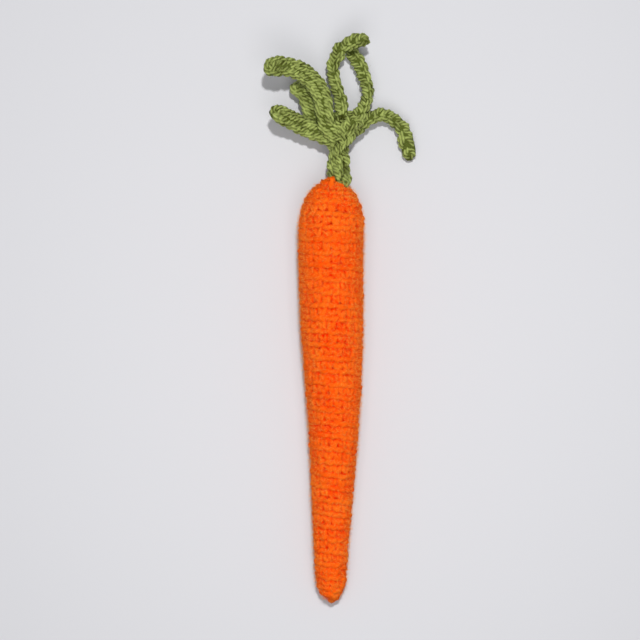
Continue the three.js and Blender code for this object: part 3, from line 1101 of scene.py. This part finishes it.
@dataclass
class Stem:
    """The green stem: a tube of stitches from the crown to the fan, over a core that fills the fan.

    Each section has its middle, from the crown and with its height above the surface, and its width and
    thickness. A column of stitches starts up to a stagger of a stitch early or late. It reaches half_column
    of its share of the tube to each side.
    """

    sections: Sequence[tuple[float, float, float, float, float]] = (
        (2.6, -7.0, 18.6, 6.0, 5.2), (3.1, -1.0, 17.4, 10.4, 7.8), (3.2, 5.0, 15.0, 11.4, 8.2),
        (3.4, 13.0, 13.7, 9.8, 7.6), (3.9, 18.0, 13.7, 12.0, 8.0), (4.5, 22.5, 13.7, 17.6, 8.4),
        (4.7, 27.0, 13.7, 20.0, 8.2), (4.8, 30.2, 13.7, 15.0, 6.4), (4.8, 31.4, 13.7, 7.0, 3.2))
    columns: int = 6
    pitch: float = 4.1
    first: float = -5.5
    last: float = 27.5
    wander: tuple[float, float, float] = (0.22, 0.26, 0.50)
    lean: float = 0.9
    stagger: float = 0.4
    half_column: float = 0.26
    core_depth: float = 3.1
    seed: int = 31

    def section(self, along: np.ndarray) -> list[np.ndarray]:
        """The middle's place to the side, its height, the width and the thickness, at places along."""
        x, y, z, width, thickness = np.array(self.sections).T
        return [np.interp(along, y, values) for values in (x, z, width, thickness)]

    def place(self, along: np.ndarray, turn: np.ndarray, out: np.ndarray) -> np.ndarray:
        """Points on or near the stem.

        Args:
            along: Distances from the crown along the stem.
            turn: Turns about it, from underneath.
            out: Distances out from its face.

        Returns:
            The points in the frame, in millimetres.
        """
        x, z, width, thickness = self.section(along)
        angle = FULL_TURN * turn - math.pi / 2
        return np.stack([CROWN_X + x + (width / 2 + out) * np.cos(angle), CROWN_Y + along,
                         z + (thickness / 2 + out) * np.sin(angle)], axis=-1)

    def chains(self, yarn: Yarn) -> list[np.ndarray]:
        """The yarn's routes up the stem.

        Args:
            yarn: The yarn, whose radius keeps its strands within the stem.

        Returns:
            The points of each column of stitches in millimetres.
        """
        rng = np.random.default_rng(self.seed)
        count = int((self.last - self.first) / self.pitch)
        topmost = max(point[2] for point in Stitch.CHAIN.value) + yarn.radius
        routes = []
        for column in range(self.columns):
            local = worked(Stitch.CHAIN, count, rng, self.wander, self.lean)
            start = rng.uniform(-self.stagger, self.stagger)
            along = self.first + self.pitch * (np.arange(count)[:, None] + local[..., 0] + start)
            turn = (column + self.half_column * local[..., 1]) / self.columns
            routes.append(self.place(along, turn, local[..., 2] - topmost).reshape(-1, 3))
        return routes

    def depth(self, points: np.ndarray) -> np.ndarray:
        """How far below the stem's face points lie.

        Args:
            points: The points in the frame, in millimetres.

        Returns:
            The depth of each.
        """
        x, y, z = points.T
        mid_x, mid_z, width, thickness = self.section(y - CROWN_Y)
        share = np.hypot((x - CROWN_X - mid_x) / (width / 2), (z - mid_z) / (thickness / 2))
        return (1 - share) * thickness / 2

    def skin(self, out: float, sides: int = 28, rings: int = 60) -> np.ndarray:
        """Rings of points round the stem.

        Args:
            out: How far out from its face they lie.
            sides: How many points a ring has.
            rings: How many rings there are.

        Returns:
            The points in millimetres, as rings by sides by three.
        """
        along = np.linspace(self.sections[0][1], self.sections[-1][1], rings)
        grid = np.meshgrid(along, -np.arange(sides) / sides, indexing="ij")
        return self.place(grid[0], grid[1], np.full_like(grid[0], out))

    def build(self, box: Workbox) -> None:
        """Makes the tube of yarn and its core.

        Args:
            box: The trees and materials.
        """
        yarn = box.yarn("leaf_stem_yarn", self.chains(GREEN_YARN), GREEN_YARN, "green_yarn")
        # Its depths set where the painted shade in the gaps falls.
        mark_sink(yarn.data, self.depth)
        keep(yarn, "leaf_stem")
        # The core is coloured darker than the yarn, as painted shade between the strands.
        keep(box.core("leaf_stem_core", self.skin(-self.core_depth), "green_backing_shaded"))


@dataclass
class Stuffing:
    """The filling, which keeps the shape that it has in the frame."""

    node: str = "stuffing"

    def build(self, box: Workbox) -> None:
        """Gives the frame's node its material.

        Args:
            box: The trees and materials.
        """
        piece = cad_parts[self.node]
        piece.data.materials.clear()
        piece.data.materials.append(box.finishes["stuffing"])
        LOG.info("%s: %d faces", self.node, len(piece.data.polygons))


@dataclass(frozen=True)
class Lamp:
    """A square light: its place and side in metres, and its power in watts."""

    name: str
    place: tuple[float, float, float]
    side: float
    power: float


@dataclass
class Studio:
    """The pale floor, the soft lights and the camera that looks straight down, in metres.

    The small key lamp stands far off, beyond the fronds. The wide one overhead and the sky fill the
    shadows. The camera's sensor is in millimetres.
    """

    camera_height: float = 1.0
    frame_width: float = 0.288
    frame_centre: tuple[float, float] = (-0.009225, -0.0009)
    sensor: float = 36.0
    object_height: float = 0.015
    lamps: Sequence[Lamp] = (Lamp("key", (0.03, 0.28, 1.12), 0.05, 8.9),
                             Lamp("overhead", (0.0, -0.1, 0.45), 0.3, 0.8))
    sky: str = "#f2f2f6"
    sky_strength: float = 0.3
    floor_half: float = 2.0
    floor_colour: str = "#cdcdd0"
    floor_roughness: float = 0.9

    def build(self) -> None:
        """Sets up the floor, the lights, the world and the camera."""
        scene = bpy.context.scene
        scene.view_settings.view_transform = "Standard"
        self.floor()
        for lamp in self.lamps:
            self.light(lamp)
        world = bpy.data.worlds.new("studio")
        world.use_nodes = True
        background = world.node_tree.nodes["Background"]
        background.inputs["Color"].default_value = linear(self.sky)
        background.inputs["Strength"].default_value = self.sky_strength
        scene.world = world
        data = bpy.data.cameras.new("camera")
        data.sensor_width = self.sensor
        data.lens = self.sensor * self.camera_height / self.frame_width
        camera = bpy.data.objects.new("camera", data)
        camera.location = (*self.frame_centre, self.camera_height + self.object_height)
        scene.collection.objects.link(camera)
        scene.camera = camera

    def light(self, lamp: Lamp) -> None:
        """Adds a lamp that faces the origin.

        Args:
            lamp: The lamp.
        """
        data = bpy.data.lights.new(lamp.name, "AREA")
        data.size = lamp.side
        data.energy = lamp.power
        light = bpy.data.objects.new(lamp.name, data)
        light.location = lamp.place
        x, y, z = lamp.place
        light.rotation_euler = (math.atan2(math.hypot(x, y), z), 0, math.atan2(x, -y))
        bpy.context.scene.collection.objects.link(light)

    def floor(self) -> None:
        """Adds the floor, a matt pale sheet."""
        mesh = bpy.data.meshes.new("floor")
        half = self.floor_half
        corners = [(-half, -half, 0), (half, -half, 0), (half, half, 0), (-half, half, 0)]
        mesh.from_pydata(corners, [], [(0, 1, 2, 3)])
        # Matt coated card: an even pale grey that takes soft shadows and gives no reflection.
        material = bpy.data.materials.new("pale_floor")
        material.use_nodes = True
        shader = material.node_tree.nodes["Principled BSDF"]
        shader.inputs["Base Color"].default_value = linear(self.floor_colour)
        shader.inputs["Roughness"].default_value = self.floor_roughness
        mesh.materials.append(material)
        floor = bpy.data.objects.new("floor", mesh)
        bpy.context.scene.collection.objects.link(floor)


def make_finishes() -> dict[str, bpy.types.Material]:
    """Makes every material.

    Returns:
        The materials by name.
    """
    # Brushed acrylic, softly spun: no gloss, plies whose grooves are painted only faintly darker, and a
    # painted shade of deep red in the gaps, for light that has passed from strand to strand.
    orange = YarnFinish("orange_acrylic_yarn", deep="#ee4402", light="#f6761c", gap_shade="#f03000",
                        gap_shade_depths=(0.1, 1.0), roughness=0.9, specular=0.08, fibre_spacing=0.3,
                        fibre_bump=1.0, patch_size=9.0, ply_shade=0.06)
    # Combed cotton, firmly plied: a slight gloss, grooves between the plies painted dark as shade, and
    # painted shade in the gaps.
    green = YarnFinish("green_cotton_yarn", deep="#34370c", light="#a3b062", gap_shade="#34370c",
                       gap_shade_depths=(0.4, 1.7), roughness=0.4, specular=0.35, fibre_spacing=0.28,
                       fibre_bump=0.4, patch_size=4.0, ply_shade=0.24)
    return {
        "orange_yarn": orange.material(ORANGE_YARN),
        "green_yarn": green.material(GREEN_YARN),
        # The backs of the stitches, which the gaps between strands show: matt, and coloured deeper than the
        # yarn as painted shade in the gaps.
        "orange_backing_shaded": FibreFinish("orange_yarn_backs_painted_shade", "#ee2a00", "#fa3a04", 1.6).material(),
        "green_backing_shaded": FibreFinish("green_yarn_backs_painted_shade", "#424a1a", "#5c6628", 1.2).material(),
        # Short acrylic fibres brushed up from the yarn: they soften the edges of its strands.
        "orange_nap": FibreFinish("orange_nap", "#f44002", "#fa6c18", 2.0).material(),
        # Single fibres that stand off the yarn: coloured paler than the yarn, a painted highlight for the
        # light that thin fibres let through, as a soft rim.
        "orange_fuzz_painted_rim": FibreFinish("orange_loose_fibre_painted_rim", "#fc9c3a", "#ffc262", 4.0).material(),
        "green_fuzz": FibreFinish("green_loose_fibre", "#8a9c56", "#a8b878", 4.0).material(),
        # Carded polyester: white, matt and fluffy.
        "stuffing": FibreFinish("polyester_stuffing", "#e8e6df", "#f6f5f0", 3.0).material(),
    }


def main() -> None:
    """Builds the carrot and the studio in order."""
    logging.basicConfig(level=logging.INFO, format="%(message)s")
    Studio().build()
    box = Workbox(spun_yarn_tree(), fuzz_tree(), make_finishes())
    Stuffing().build(box)
    Body().build(box)
    Stem().build(box)
    for frond in FRONDS:
        frond.build(box)


if __name__ == "__main__":
    main()
